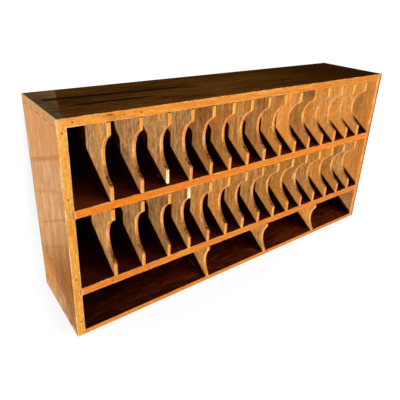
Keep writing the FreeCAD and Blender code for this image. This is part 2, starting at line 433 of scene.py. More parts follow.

# %% [markdown]
# ## The sides
# The left side is the one that light and knocks have reached. Its upper half is bleached to a pale
# peach, its foot has gone brown and is scratched where it was pushed along floors, and a few soft
# slanting brown lines cross it. The right side's outer face has had the same life. Its inner face
# shows through the open front: orange beside the two tall rows, brown and specked beside the low
# one, and nearly black as painted shade far in and low down. Each of those is a mask worked out
# from height and depth, where a painted image would have to be made again for every change of size.

# %% The outer face of a side
# height at the back, slope, half width and strength of each soft line
soft_slanting_lines = ((421, 0.37, 10, 0.5), (326, 0.40, 7, 0.3),
                 (220, 0.54, 6, 0.5), (131, 0.60, 6, 0.35))


def slanting_line(f, height, slope, width):
    """A soft line up the side: 1 where z is height + slope times the distance from the back."""
    away = f.size(f.z - (back - f.y) * slope - height)
    broken = f.fade(f.noise("X", 60, 60, height), 0.3, 0.55, 0.25, 1.0)
    return f.fade(away, width, width * 0.2) * broken


def outer_face(f):
    """The weathered outer face, from its foot to its top."""
    z, depth_in = f.z, f.depth_in
    cloudy = f.noise("Z", 150, 55, f.seed + 20)
    mottled = f.noise("Z", 34, 13, f.seed + 24, 4.0, 0.7, 0.6)
    strands = f.noise("Z", 150, 6.5, f.seed + 21, 4.0, 0.7, 0.4)
    near_top = f.fade(z + cloudy * 90, 480, 600)
    foot = f.fade(z + depth_in * 0.75 + cloudy * 110, 460, 250) * f.fade(z, 20, 170, 0.7, 1.0)
    warm_foot = f.fade(z + cloudy * 120, 260, 120) * f.fade(depth_in, 110, 200)
    low_down = f.fade(z + cloudy * 90, 330, 180)
    scuffed = f.fade(f.noise("Z", 34, 4.6, f.seed + 22, 4.0, 0.7, lean=-0.5), 0.50, 0.62)
    scuffed = scuffed * f.fade(z + cloudy * 60, 170, 70) * f.fade(depth_in, 30, 120)
    brown = tint(186, 114, 52)
    lines = [(slanting_line(f, *line) * share, brown) for *line, share in soft_slanting_lines]
    face = f.layered(
        banded(f, tint(244, 194, 144), tint(226, 170, 118), tint(172, 108, 58), 0.4),
        (f.fade(strands, 0.47, 0.64, 0.0, 0.42), tint(198, 134, 82)),
        (f.fade(mottled, 0.5, 0.7, 0.0, 0.25), tint(252, 206, 150)),
        (f.fade(mottled, 0.49, 0.32, 0.0, 0.6), tint(204, 132, 78)),
        (near_top * 0.5, tint(220, 148, 84)),
        (foot * 0.82, tint(146, 84, 26)),
        (warm_foot * 0.7, tint(232, 152, 72)),
        (f.fade(mottled, 0.5, 0.62) * low_down * 0.4, tint(196, 128, 56)),
        (f.fade(mottled, 0.46, 0.34) * low_down * 0.5, tint(120, 64, 24)),
        *lines,
        (scuffed * 0.8, tint(252, 222, 178)),
        (f.fade(depth_in, 262, 265.5) * 0.5, tint(130, 96, 66)),
    )
    return f.dim(face, 0.97)


print("soft lines on a side:", len(soft_slanting_lines))

# %% The lining of the right side
# floor and clear height of each row, and how far its painted shade starts above the floor
row_sizes = ((15, 115, 15), (152, 205, 13), (379, 205, 8))


def right_lining(f, lining):
    """Orange in the upper two rows with a worn grey place, brown and specked in the low one, and
    nearly black as painted shade towards the back and the floor of each row."""
    depth_in, z = f.depth_in, f.z
    worn_place = spot(f, depth_in, z, (72, 490), (44, 66))
    worn_place = worn_place * patches(f, 8.0, 61.0, 0.36, 0.56, "Z", 1.5)
    low_bay = f.fade(z, 136, 126)
    hatched = spot(f, depth_in, z, (34, 96), (40, 30)) * patches(f, 6.0, 62.0, 0.46, 0.56)
    specks = low_bay * patches(f, 5.0, 63.0, 0.54, 0.62)
    painted_shade = 0.0
    for floor, clear, lift in row_sizes:
        head = floor + clear
        in_row = f.fade(z, floor - 11, floor - 9) * f.fade(z, head + 11, head + 9)
        painted_shade = f.high(painted_shade, painted_shadow_mask(f, z - floor, lift) * in_row)
    return f.layered(
        f.dim(lining, 1.1),
        (worn_place * 0.6, tint(150, 118, 84)),
        (low_bay * 0.55, tint(168, 98, 50)),
        (hatched * 0.6, tint(70, 40, 26)),
        (specks * 0.6, tint(240, 208, 168)),
        # painted shade: nearly black far in and under the main light's slope, where its shadow
        # falls
        (painted_shade * 0.96, tint(52, 26, 12)),
    )


print("rows:", len(row_sizes))


# %% The linings and front edges of the sides
def side_lining_colour(f, left):
    """The inner face: nearly black on the left as painted shade, and lit and orange on the right.
    """
    lining = f.layered(
        banded(f, tint(246, 158, 72), tint(222, 130, 50), tint(180, 102, 42), 0.45),
        (patches(f, 9.0, f.seed + 24, 0.46, 0.62, "Z", 1.3) * 0.4, tint(190, 148, 98)),
        (patches(f, 5.0, f.seed + 25, 0.62, 0.72) * 0.5, tint(244, 200, 140)),
    )
    if not left:
        return right_lining(f, lining)
    # the left lining faces away from the main light, so it is coloured nearly black as painted
    # shade
    left_painted_shade = f.high(0.88, patches(f, 30.0, f.seed + 26, 0.3, 0.5))
    return f.mix(left_painted_shade, lining, tint(70, 34, 15))


def left_edge(f):
    """The left side's front edge: golden, with the stains of its nails."""
    edge = banded(f, tint(238, 172, 82), tint(226, 154, 62), tint(190, 116, 40), 0.3)
    return stained(f, flecked(f, edge, "Z", tint(252, 194, 108), tint(214, 122, 40)))


def right_edge(f, outwards):
    """The right side's front edge: orange, rubbed high up and low down, dark at its outer arris."""
    edge = banded(f, tint(250, 146, 46), tint(236, 130, 36), tint(190, 96, 26), 0.35)
    edge = flecked(f, edge, "Z", tint(255, 172, 72), tint(206, 104, 28))
    rubbed = f.high(f.fade(f.z, 420, 470), f.fade(f.z, 120, 95))
    rubbed = rubbed * patches(f, 7.0, f.seed + 31, 0.36, 0.52, "Z", 2.0)
    return f.layered(
        f.dim(f.mix(rubbed * 0.4, edge, tint(236, 182, 104)), 0.94),
        (f.fade(outwards, 595.0, 591.5) * 0.6, tint(222, 146, 70)),
        (f.fade(outwards, 602.5, 604.5), tint(40, 22, 14)),
    )


ready(side_lining_colour, left_edge, right_edge)

# %% The two sides
# height and reach of each chip in the right side's inner arris
right_chips = ((569, 12), (500, 16), (422, 14), (270, 18))


def side_finish(name, hand):
    """An upright side board. hand is -1 for the left side and 1 for the right side."""
    left = hand < 0
    f = Wood(name, "Z", 11.0 if left else 17.0, 34.0, 6.0)
    z, depth_in = f.z, f.depth_in
    outwards = f.x * hand
    front_edge = left_edge(f) if left else right_edge(f, outwards)
    # the top end of each side is dark like the top: dirt, and painted shade
    dirt_and_shade = (tint(96, 79, 54), tint(78, 62, 40)) if left else (tint(46, 28, 12), tint(34, 20, 8))
    rim = f.fade(z, case_top - 1.8, case_top - 0.8)
    rim = rim * f.fade(outwards, half_width - 2.5, half_width - 1.1)
    by_outer_face = f.fade(outwards, half_width - 6.5, half_width - 3.5)
    reachable = f.high(f.fade(depth_in, 6.0, 3.0), by_outer_face)
    reach = f.fade(z, 586, 590, 3.4, 1.7) if left else 1.2
    wear = worn(f, from_arris(f), reach, f.seed + 5) * reachable
    colour = f.layered(
        outer_face(f),
        (f.fade(outwards, side_lining + 2.5, side_lining + 0.7), side_lining_colour(f, left)),
        (on_front(f), front_edge),
        (f.fade(z, case_top - 1.1, case_top - 0.3), banded(f, *dirt_and_shade, tint(40, 30, 20), 0.3)),
        (rim * 0.6, bare_wood),
        (wear * 0.75, bare_wood),
    )
    for height, tall in [] if left else right_chips:
        chip = spot(f, depth_in, z, (0.0, height), (6.0, tall)) * f.fade(outwards, 600, 596)
        chip = chip * patches(f, 3.0, height, 0.4, 0.5)
        colour = f.mix(chip * 0.5, colour, tint(240, 200, 140))
    return f.finish(colour, f.dullness(0.4, 0.56) + wear * 0.15, f.relief(wear, 0.3), 0.0006, 0.0)


for name, hand in (("left_side", -1), ("right_side", 1)):
    dress(name, side_finish(name, hand))
    print(name, "has the finish", nodes[name].material_slots[0].material.name)

# %% [markdown]
# ## Top, bottom and shelves
# These boards lie flat, so their grain runs along the case. Only the front edge is bright. The
# upper faces are coloured nearly black as painted shade, and the top has two long black drips of
# ink along its grain and a paler grey left end, which is painted sheen. Where a board ends in
# dovetails we see end grain, which drinks more dirt than the long grain, so the tails are greyer
# and have a dark joint line. We could cut the tails' colour out with an image mask, but their
# flanks are straight lines, so the distance to the nearest flank needs only a remainder and a
# slope.

# %% The joint lines of a row of dovetails
tails, tail_half_width, tail_slope = 5, 14.5, 7.0


def from_tail_flank(f):
    """Millimetres to the slanting flank of the nearest tail, less than 0 inside the tail."""
    pitch = (back - front) / tails
    across = f.size(f.sum("MODULO", f.depth_in, pitch) - pitch / 2)
    return across - (tail_half_width - (half_width - f.size(f.x)) / tail_slope)


print("a tail every", round((back - front) / tails, 1), "mm")


# %% The top's own marks
def ink_streak(f, start, end, width, seed):
    """A long dark streak along the grain between two points, thin at both its tips."""
    slope = (end[1] - start[1]) / (end[0] - start[0])
    along = f.fade(f.x, start[0], start[0] + 70) * f.fade(f.x, end[0], end[0] - 200)
    wander = f.noise("X", 70, 70, seed, 3.0) * 14 - 7
    away = f.size(f.y - start[1] - (f.x - start[0]) * slope + wander)
    return f.fade(away - along * width, 2.0, -4.0) * along


def stained_top(f, above):
    """The upper face of the top: a paler grey left end of painted sheen, a darker right end and two
    streaks of ink.
    """
    from_left, depth_in = f.x - case_low[0], f.depth_in
    # painted sheen: a paler grey zone at the left end
    painted_sheen = f.fade(from_left - depth_in * 0.27 + (f.parts[3] - 0.5) * 8, 15, 11)
    painted_sheen = painted_sheen * (0.55 + patches(f, 26.0, 73.0, 0.38, 0.62, "X", 2.5) * 0.35)
    painted_sheen = painted_sheen * f.fade(depth_in, 0, 170, 0.4, 1.0) * f.fade(from_left, 22, 75, 0.4, 1.0)
    first = ink_streak(f, (-640, 36), (-40, 4), 13.0, 3.0)
    ink = f.high(first, ink_streak(f, (-580, -38), (-200, -50), 11.0, 4.0))
    return f.layered(
        above,
        (painted_sheen, tint(114, 90, 60)),
        (f.fade(from_left, 500, 1100) * 0.9, tint(42, 20, 3)),
        (ink * 0.9, tint(24, 17, 10)),
    )


def knotty_front(f, edge):
    """The top's front edge: a dark knot by the left end, a smaller one beside it, and long orange
    stripes that grow stronger to the right."""
    x, z = f.x, f.z
    swirl = f.noise("X", 14, 5, 71.0, 3.0, 0.6, 1.5) * 4 - 2
    knot = spot(f, x + swirl, z + swirl, (-487, 600), (13, 5))
    small = spot(f, x + swirl, z + swirl, (-501, 597), (8, 3))
    smear = spot(f, x + swirl * 4, z + swirl * 1.5, (-474, 592), (20, 6))
    smear = smear * patches(f, 3.0, 72.0, 0.4, 0.6, "X", 3.0)
    stripes = patches(f, 3.0, 74.0, 0.50, 0.62, "X", 14.0) * f.fade(x, -500, 300, 0.3, 0.7)
    dark = f.high(f.high(knot, small * 0.6), smear) * 0.75
    return f.layered(edge, (dark, tint(122, 64, 26)), (stripes, tint(214, 112, 34)))


ready(ink_streak, stained_top, knotty_front)


# %% The front edge and the two faces of a long board
def long_front_edge(f, pale, deep):
    """Varnish with flecks, dark stripes and pale specks along the grain, redder to the right."""
    edge = f.layered(
        flecked(f, banded(f, pale, deep, tint(196, 100, 28), 0.3), "X",
                brighter(pale, 1.2), brighter(deep, 0.7)),
        (patches(f, 3.0, f.seed + 33, 0.48, 0.62, "X", 6.0) * 0.45, brighter(deep, 0.78)),
        (patches(f, 2.4, f.seed + 34, 0.56, 0.66, "X", 2.5) * 0.45, brighter(pale, 1.25)),
    )
    if f.name in ("top_board", "lower_shelf"):
        edge = stained(f, edge)
    if f.name == "top_board":
        edge = knotty_front(f, edge)
    if f.name != "upper_shelf":
        edge = f.dim(edge, f.fade(f.x, -200, 600, 1.0, 0.82))
        edge = f.mix(f.fade(f.x, -100, 500) * 0.3, edge, tint(224, 120, 40))
    return edge


def flat_faces(f, pale, deep):
    """The lower and the upper face of a board that lies flat."""
    below = banded(f, tint(92, 46, 22), tint(70, 33, 15), tint(44, 20, 10), 0.3)
    # the upper face is coloured nearly black as painted shade
    above = banded(f, pale, deep, tint(26, 11, 4), 0.4)
    if f.name == "top_board":
        return below, stained_top(f, above)
    below = f.mix(f.fade(f.depth_in, 10.0, 3.0) * 0.6, below, tint(60, 28, 12))
    above = f.mix(f.fade(f.depth_in, 8.0, 3.0) * 0.7, above, tint(20, 8, 4))
    if f.name == "upper_shelf":
        # lighter in the first hole of the upper row: less painted shade there
        above = f.mix(f.fade(f.x, -495, -510) * 0.5, above, tint(140, 78, 26))
    if f.name == "bottom_board":
        above = f.layered(
            above,
            (patches(f, 26.0, 91.0, 0.48, 0.62, "X", 2.5) * 0.6, tint(48, 16, 8)),
            (patches(f, 17.0, 92.0, 0.54, 0.66, "X", 4.0) * 0.5, tint(176, 84, 28)),
        )
        # more painted shade: darker towards the left end, in the first bay
        above = f.dim(above, f.fade(f.x, -400, -150, 0.65, 1.0))
    return below, above


ready(long_front_edge, flat_faces)


# %% The ends of a long board
def tailed_ends(f, colour, outwards, upper):
    """The ends of a board with tails: dirty from above, pale end grain at the outer face, and the
    dark line of each joint."""
    x, z, low_z, high_z = f.x, f.z, f.box[0][2], f.box[1][2]
    flank = from_tail_flank(f)
    on_tail = f.fade(outwards, side_lining - 0.3, side_lining + 0.7)
    dirty = banded(f, tint(98, 80, 54), tint(80, 63, 41), tint(44, 34, 22), 0.3)
    dirty = f.mix(f.fade(x, 400, 500), dirty, tint(40, 24, 10))
    oval = spot(f, flank, z, (-13, high_z - 10), (11, 11)) * patches(f, 9.0, f.seed + 15, 0.3, 0.6)
    end = banded(f, tint(232, 172, 112), tint(214, 152, 94), tint(170, 112, 62), 0.3)
    end = f.mix(oval * 0.8, end, tint(184, 154, 120))
    joint = f.fade(f.size(flank) - upper * 1.2, 1.3, 0.4) * on_tail
    joint = joint * f.fade(f.noise("X", 12, 12, f.seed + 16), 0.35, 0.6, 0.3, 1.0)
    foot_line = f.fade(z, low_z + 4.5, low_z + 1.5)
    foot_line = foot_line * f.fade(outwards, half_width - 3, half_width - 1)
    left_rim = f.fade(z, high_z - 1.8, high_z - 0.8)
    left_rim = left_rim * f.fade(x, 2.5 - half_width, 1.1 - half_width)
    return f.layered(
        colour,
        (on_tail * upper, dirty),
        (f.fade(outwards, half_width - 1.1, half_width - 0.3), end),
        (joint * f.fade(outwards, half_width - 3, half_width - 1, 0.85, 0.4), tint(50, 34, 20)),
        (foot_line * 0.5, tint(110, 74, 44)),
        (left_rim * 0.6, bare_wood),
    )


def housed_ends(f, colour, outwards):
    """The ends of a shelf, which stop in the sides: paler wood inside, a pale line at the joint."""
    line = f.fade(f.size(outwards - (side_lining - 1)), 1.8, 0.6) * on_front(f)
    housed = f.fade(outwards, side_lining - 0.5, side_lining + 1.1)
    return f.layered(colour, (housed * 0.7, tint(180, 116, 66)), (line * 0.6, tint(230, 204, 164)))


ready(tailed_ends, housed_ends)


# %% The top, the bottom and the two shelves
def long_board_finish(name, seed, front_colours, upper_colours, gloss):
    """A board whose grain runs along the case. Its front edge and its upper face each have a pale
    and a deep colour."""
    f = Wood(name, "X", seed, 30.0, 7.0)
    outwards = f.size(f.x)
    middle_z = (f.box[0][2] + f.box[1][2]) / 2
    upper = f.fade(f.z, middle_z - 1, middle_z + 1)
    below, above = flat_faces(f, *upper_colours)
    colour = f.mix(on_front(f), f.mix(upper, below, above), long_front_edge(f, *front_colours))
    wear = worn(f, from_arris(f), 2.6, seed + 5) * f.fade(f.depth_in, 6.0, 3.0)
    if name == "bottom_board":
        wear = wear * f.fade(f.z, 6, 10, 1.0, 0.25)
    if name in ("top_board", "bottom_board"):
        colour = tailed_ends(f, colour, outwards, upper)
    else:
        colour = housed_ends(f, colour, outwards)
    colour = f.mix(wear * 0.7, colour, tint(248, 196, 124))
    roughness = f.dullness(0.42, 0.58) + wear * 0.15
    return f.finish(colour, roughness, f.relief(wear, 0.3), 0.0006, gloss)


# name, seed, pale and deep of the front edge, pale and deep of the upper face (dark as painted
# shade), gloss
long_boards = (
    ("top_board", 23.0, ((240, 162, 74), (226, 142, 56)), ((98, 60, 20), (66, 38, 9)), 0.0),
    ("upper_shelf", 29.0, ((240, 136, 34), (226, 118, 22)), ((136, 52, 22), (106, 36, 14)), 0.15),
    ("lower_shelf", 37.0, ((234, 140, 44), (218, 120, 32)), ((108, 37, 17), (82, 24, 11)), 0.15),
    ("bottom_board", 41.0, ((228, 142, 60), (210, 122, 44)), ((150, 58, 19), (100, 38, 12)), 0.1),
)
for name, seed, front_pair, upper_pair, gloss in long_boards:
    pairs = [[tint(*colour) for colour in pair] for pair in (front_pair, upper_pair)]
    dress(name, long_board_finish(name, seed, *pairs, gloss))
print("long boards with a finish:", len(long_boards))

# %% [markdown]
# ## The back panel
# The back is a thin wide sheet, nailed into a rebate. From the front we only see its inner face,
# coloured nearly black as painted shade, so its figure hardly shows. From behind it is dry and
# brown, because nobody varnishes what faces a wall. Two materials on two faces would do, but the
# CAD node is one mesh, so one material fades from dark to dry through the sheet's thickness.

# %% The finish of the back panel
def panel_finish():
    """A thin panel: nearly black inside as painted shade, dry and brown on its back."""
    f = Wood("back_panel", "X", 53.0, 40.0, 5.0)
    # the inner face is nearly black as painted shade
    dark = banded(f, tint(30, 13, 7), tint(20, 8, 4), tint(9, 4, 2), 0.3)
    dry = banded(f, tint(176, 128, 82), tint(150, 102, 62), tint(104, 66, 38), 0.35)
    colour = f.mix(f.fade(f.y, 128.0, 131.0), dark, dry)
    return f.finish(colour, f.dullness(0.5, 0.7), f.relief(), 0.0005, 0.1)


dress("back_panel", panel_finish())
print("the back panel has", len(nodes["back_panel"].material_slots), "material slot")

# %% [markdown]
# ## The dividers
# Each divider is a thin board that stands upright, so its fibres run up and down. Its faces were
# never varnished well and have gone grey where fingers and paper rub, while its scooped front edge
# kept its varnish and is bright orange with a pale line along each arris. The distance to that
# curved edge is also plain arithmetic: the distance to the circle's middle, less its radius. One
# material could serve all of them, but thirty-three boards that weather alike look stamped out, so
# each has a seed and four tones of its own.

# %% The shape of a scoop
# clear height of the row, then straight foot, straight head and depth of the scoop
tall_scoop, low_scoop = (205.0, 40.0, 35.0, 41.5), (115.0, 10.0, 15.0, 16.5)
tongue = 5.0


def scoop_circle(floor, clear, foot, head, depth):
    """Middle (y, z) and radius of the circle that bites the front edge."""
    half = (clear - foot - head) / 2
    radius = (half * half + depth * depth) / (2 * depth)
    return front + depth - radius, floor + foot + half, radius


print("a tall scoop's radius:", round(scoop_circle(0, *tall_scoop)[2], 1), "mm")


# %% The faces of a divider
def divider_face(f, light, grey, red, warm):
    """The grey, tan, red and orange streaks of a face that was never varnished well."""
    seed, calm = f.seed, max(0.3, 1 - warm * 0.7)
    fine = f.noise("Z", 24, 6.0, seed + 14, 3.0, 0.6, 0.4)
    streaky = f.noise("Z", 100, 11, seed + 8, 3.0, 0.6)
    reddish = f.noise("Z", 90, 13, seed + 9, 3.0)
    glow = f.noise("Z", 140, 60, seed + 10, 3.0)
    clouds = f.noise("Z", 62, 19, seed + 18, 4.0, 0.68, 0.9)
    strands = f.noise("Z", 180, 11, seed + 19, 2.0, 0.6, 0.3)
    blotches = f.noise("Z", 110, 17, seed + 21, 3.0, 0.6, 0.5)
    mottled = f.noise("Z", 13, 8.0, seed + 22, 3.0, 0.7)
    weathered = f.mix(f.fade(fine, 0.40, 0.62), tint(234, 182, 124), tint(164, 112, 66))
    greyed = f.fade(streaky, 0.60 - grey * 0.22, 0.70 - grey * 0.14)
    reddened = f.fade(reddish, 0.64 - red * 0.22, 0.74 - red * 0.18)
    face = f.layered(
        banded(f, tint(250, 182, 92), tint(222, 142, 60), tint(150, 86, 38), 0.4),
        (f.fade(fine, 0.52, 0.70, 0.0, 0.45 * calm), tint(146, 88, 46)),
        (f.fade(fine, 0.48, 0.36, 0.0, 0.6), tint(255, 206, 122)),
        (greyed * 0.75, weathered),
        (reddened * 0.65, tint(200, 104, 44)),
        (f.fade(glow, 0.3, 0.6) * warm * 0.8, tint(244, 152, 58)),
        (f.fade(clouds, 0.52, 0.64) * (0.2 + grey * 0.35), tint(234, 158, 94)),
        (f.fade(clouds, 0.47, 0.34) * (0.2 + grey * 0.4) * calm, tint(148, 98, 58)),
        (f.fade(strands, 0.54, 0.60) * 0.45 * calm, tint(136, 88, 40)),
        (f.fade(strands, 0.46, 0.40) * 0.35, tint(246, 186, 110)),
        (f.fade(blotches, 0.53, 0.62) * 0.3, tint(222, 130, 56)),
        (f.fade(blotches, 0.47, 0.38) * (0.15 + grey * 0.25) * calm, tint(212, 170, 124)),
    )
    face = f.layered(
        f.dim(face, f.fade(mottled, 0.36, 0.64, 0.84, 1.16)),
        (patches(f, 24.0, seed + 11, 0.54, 0.66, "Z", 1.6) * 0.45 * calm, tint(138, 92, 46)),
        (patches(f, 15.0, seed + 17, 0.56, 0.66, "Z", 1.8) * max(0.1, 0.5 - warm * 0.35),
         tint(255, 206, 132)),
    )
    return f.dim(face, light)


ready(divider_face)

# %% The front edge of a divider
dark_in_the_middle = ("upper_divider_10", "middle_divider_10", "middle_divider_12")


def divider_edge(f, height, warm, lip):
    """The varnished edge: browner in the hollow, browner on the lip with grime and painted shade,
    golden at the head. height is above the shelf, and lip is a mask."""
    edge = banded(f, tint(248, 162, 64), tint(236, 138, 42), tint(200, 104, 28), 0.2)
    hollow = f.fade(height, 105, 135) * f.fade(height, 172, 160)
    layers = [
        (hollow * 0.7, tint(190, 98, 40)),
        (f.fade(height, 160, 175) * min(1.0, warm) * 0.5, tint(255, 186, 58)),
        (lip * 0.7, tint(132, 66, 22)),
    ]
    if f.name in dark_in_the_middle:
        dark = f.fade(height, 62, 75) * f.fade(height, 140, 125)
        layers.append((dark * 0.5, tint(170, 84, 30)))
    layers.append((f.fade(height, 60, 35) * 0.5, tint(230, 138, 46)))
    return f.layered(flecked(f, edge, "Z", tint(255, 192, 108), tint(218, 118, 32)), *layers)


print("edges with a dark middle:", len(dark_in_the_middle))

# %% Chips, and grime on the lip
# the height above the shelf and the reach of a chip in a divider's left arris
chips = {"upper_divider_08": (24, 12), "upper_divider_09": (94, 16), "middle_divider_05": (60, 14),
         "middle_divider_11": (106, 20)}


def tall_marks(f, floor, foot, warm, from_edge, left_arris):
    """Layers for a tall divider: grime and painted shade on its lip, small chips above it, and a
    large chip.
    """
    z, seed = f.z, f.seed
    grime_and_shade = f.fade(f.size(z - floor - foot - 9), 15, 6) * f.fade(from_edge, 4.0, 1.0)
    grime_and_shade = grime_and_shade * patches(f, 11.0, seed + 15, 0.46, 0.56) * (1.0 if warm < 0.65 else 0.5)
    chipped = f.fade(z, floor + foot + 30, floor + foot - 12) * f.fade(left_arris, 4.5, 2.0)
    chipped = chipped * patches(f, 5.0, seed + 16, 0.60, 0.68, "Z", 2.0)
    layers = [(grime_and_shade * 0.85, tint(56, 31, 16)), (chipped * 0.6, tint(248, 214, 164))]
    if f.name in chips:
        height, reach = chips[f.name]
        beside = f.fade(from_edge, 13, 8) * f.fade(f.x - f.box[0][0], 2.5, 1.5)
        chip = f.fade(f.size(z - floor - height), reach, reach * 0.4) * beside
        chip = chip * patches(f, 4.0, 33.0, 0.50, 0.58)
        layers.append((chip * 0.85, tint(252, 230, 180)))
    return layers


print("large chips:", len(chips))


# %% Where wood has split off
def fresh_colour(f):
    """Newly split wood: cream, with thin tan fibres that run up and down."""
    splits = f.noise("Z", 24, 1.1, 5.0, 3.0, 0.6)
    return f.mix(f.fade(splits, 0.5, 0.72), tint(255, 232, 184), tint(236, 186, 112))


def broken_edge(f, plane, low_z, high_z):
    """1 on the flat break and just behind it, between two heights, with a ragged outline."""
    ragged = f.noise("Z", 9, 2.0, 6.0, 3.0, 0.7) * 5 - 2.5
    near = f.fade(f.y + ragged * 0.3, plane + 2.2, plane + 1.2)
    return near * f.fade(f.z + ragged, low_z - 2, low_z) * f.fade(f.z + ragged, high_z, high_z - 2)


ready(fresh_colour, broken_edge)

# %% The single marks of a few dividers
# the two ends (depth, height) and the strength of a pale thread stuck to a divider's left face
threads = {"lower_divider_1": ((62, 17), (107, 24), 0.9),
           "lower_divider_2": ((64, 34), (92, 46), 0.35)}


def own_marks(f, floor, painted_shade):
    """The layers that one divider alone has: a bloom, a grey place, a crumb, a smudge, a thread
    or a break."""
    name, depth_in, z = f.name, f.depth_in, f.z
    if name in threads:
        start, end, share = threads[name]
        return [(scratch(f, depth_in, z, start, end, 4.0) * share, tint(255, 236, 200))]
    if name == "upper_divider_01":
        return [(f.fade(depth_in, 90, 190) * (1 - painted_shade) * 0.3, tint(206, 160, 136))]
    if name == "upper_divider_02":
        grey = spot(f, depth_in, z, (95, 462), (34, 24)) * patches(f, 12.0, 9.0, 0.3, 0.55, "Z")
        return [(grey * 0.55, tint(84, 72, 48))]
    if name == "upper_divider_03":
        crumb = spot(f, depth_in, z, (51, 390), (12, 6))
        split = broken_edge(f, front + 9.0, floor, floor + 44)
        return [(crumb * 0.9, tint(200, 200, 200)), (split, fresh_colour(f))]
    if name == "upper_divider_11":
        smudge = spot(f, depth_in, z, (24, 576), (56, 26))
        smudge = smudge * patches(f, 9.0, 31.0, 0.3, 0.6, "Z", 2.0)
        return [(smudge * 0.6, tint(112, 84, 70))]
    if name == "middle_divider_04":
        return [(broken_edge(f, front + 10.0, floor + 165, floor + 205), fresh_colour(f))]
    return []


print("pale threads:", len(threads))


# %% The whole finish of a divider
def divider_finish(name, seed, tones):
    """A divider. tones are its lightness, and how grey, red and orange its faces are."""
    f = Wood(name, "Z", seed, 22.0, 6.0)
    low_row, first, warm = name.startswith("lower"), name.endswith("_01"), tones[3]
    low, high = f.box
    floor = low[2] + tongue
    clear, foot, head, depth = low_scoop if low_row else tall_scoop
    middle_y, middle_z, radius = scoop_circle(floor, clear, foot, head, depth)
    height, from_left = f.z - floor, f.x - low[0]
    away_y, away_z = f.y - middle_y, f.z - middle_z
    from_scoop = f.sum("SQRT", away_y * away_y + away_z * away_z) - radius
    from_edge = f.low(from_scoop, f.depth_in)
    left_arris = f.high(from_edge, from_left)

    face = divider_face(f, *tones)
    if not low_row:
        golden = brighter(tint(200, 128, 58), 0.93 + warm * 0.5)
        face = f.mix(f.fade(height, 85, 25) * 0.55, face, golden)
    # painted shade: nearly black on the right face, which the main light never reaches, far in, and
    # under the main light's slope
    middle_x = (low[0] + high[0]) / 2
    deep = painted_shadow_mask(f, height, 0, (165, 205) if first else (135, 175))
    painted_shade = f.high(f.fade(f.x, middle_x - 0.5, middle_x + 0.5), deep) * (0.90 if first else 0.96)
    face = f.mix(painted_shade, face, tint(74, 36, 17))

    # the lower end of the scoop, darker with grime and painted shade
    lip = f.fade(height, 46, 52) * f.fade(height, 100, 62) * (0.0 if low_row else 1.0)
    colour = f.mix(f.fade(from_edge, 1.1, 0.5), face, divider_edge(f, height, warm, lip))
    both = worn(f, f.high(from_edge, f.low(from_left, high[0] - f.x)), 2.0, seed + 5)
    wear = f.high(both, worn(f, left_arris, 3.2, seed + 6))
    nicks = patches(f, 5.0, seed + 23, 0.54, 0.62) * f.fade(left_arris, 4.5, 2.5)
    nicks = nicks * f.fade(height, 40, 60) * f.fade(height, 160, 130)
    flecks = patches(f, 4.0, seed + 12, 0.64, 0.70) * patches(f, 50.0, seed + 13, 0.48, 0.6)
    layers = [
        (wear * (1 - lip * 0.8) * 0.6, tint(255, 200, 116)),
        (nicks * 0.4, tint(255, 224, 166)),
        (flecks * 0.7, tint(240, 220, 186)),
    ]
    if low_row:
        specks = patches(f, 5.0, seed + 14, 0.57, 0.65)
        specks = specks * f.fade(f.z, floor + 60, floor + 95, 0.3, 1.0)
        layers.append((specks * (1 - painted_shade) * 0.8, tint(250, 222, 176)))
    else:
        layers += tall_marks(f, floor, foot, warm, from_edge, left_arris)
    colour = f.layered(colour, *layers, *own_marks(f, floor, painted_shade))
    return f.finish(colour, f.dullness(0.48, 0.64), f.relief(wear, 0.2), 0.0006, 0.15)


ready(divider_finish)

# %% Dress the dividers
# lightness, grey, red and orange of each divider from the left
upper_tones = [(1.24, .9, .1, .1), (.93, 1.5, .1, .0), (1.06, .9, .4, .1), (.89, .8, .4, .1),
               (.62, .3, 1.4, .3), (.78, .1, 1.0, .6), (1.0, .2, .9, .6), (.72, .2, .9, .4),
               (.94, .1, .7, .8), (1.36, .1, .3, 1.0), (.74, .1, .9, .8), (1.1, .1, .3, 1.1),
               (1.22, .3, .3, .8), (1.22, .0, .3, 1.2), (1.2, .3, .3, .9)]
middle_tones = [(1.15, .9, .1, .1), (.78, .8, .3, .1), (.64, .9, .4, .0), (.87, .5, .6, .3),
                (.95, .4, .7, .4), (1.14, .3, .7, .6), (.82, .2, .8, .6), (.9, .5, .7, .4),
                (.84, .3, .7, .6), (.75, .0, .6, 1.1), (.78, .1, .6, .9), (.86, .4, .4, .7),
                (.97, .1, .5, 1.0), (.75, .3, .6, .7), (1.0, .4, .4, .5)]
lower_tones = [(1.0, .25, .8, .7), (1.0, .5, .4, .5), (1.2, .1, .3, .9)]
rows = (("upper_divider_%02d", upper_tones, 100), ("middle_divider_%02d", middle_tones, 200),
        ("lower_divider_%d", lower_tones, 300))
for pattern, row_tones, seed in rows:
    for number, tones in enumerate(row_tones, start=1):
        dress(pattern % number, divider_finish(pattern % number, seed + number * 3.0, tones))
print("dividers with a finish:", sum(len(row_tones) for _, row_tones, _ in rows))

# %% [markdown]
# ## Splinters on the two breaks
# The foot of one divider and the head of another have split off. Wood splits along its fibres, so a
# break isn't flat: it is a bundle of ridges that run up and down and end at different heights. A
# displaced plane would do from the front, but it would be open at the sides, so we make a closed
# shell: one grid for the ridged front and one for its back, which lies just inside the wood.

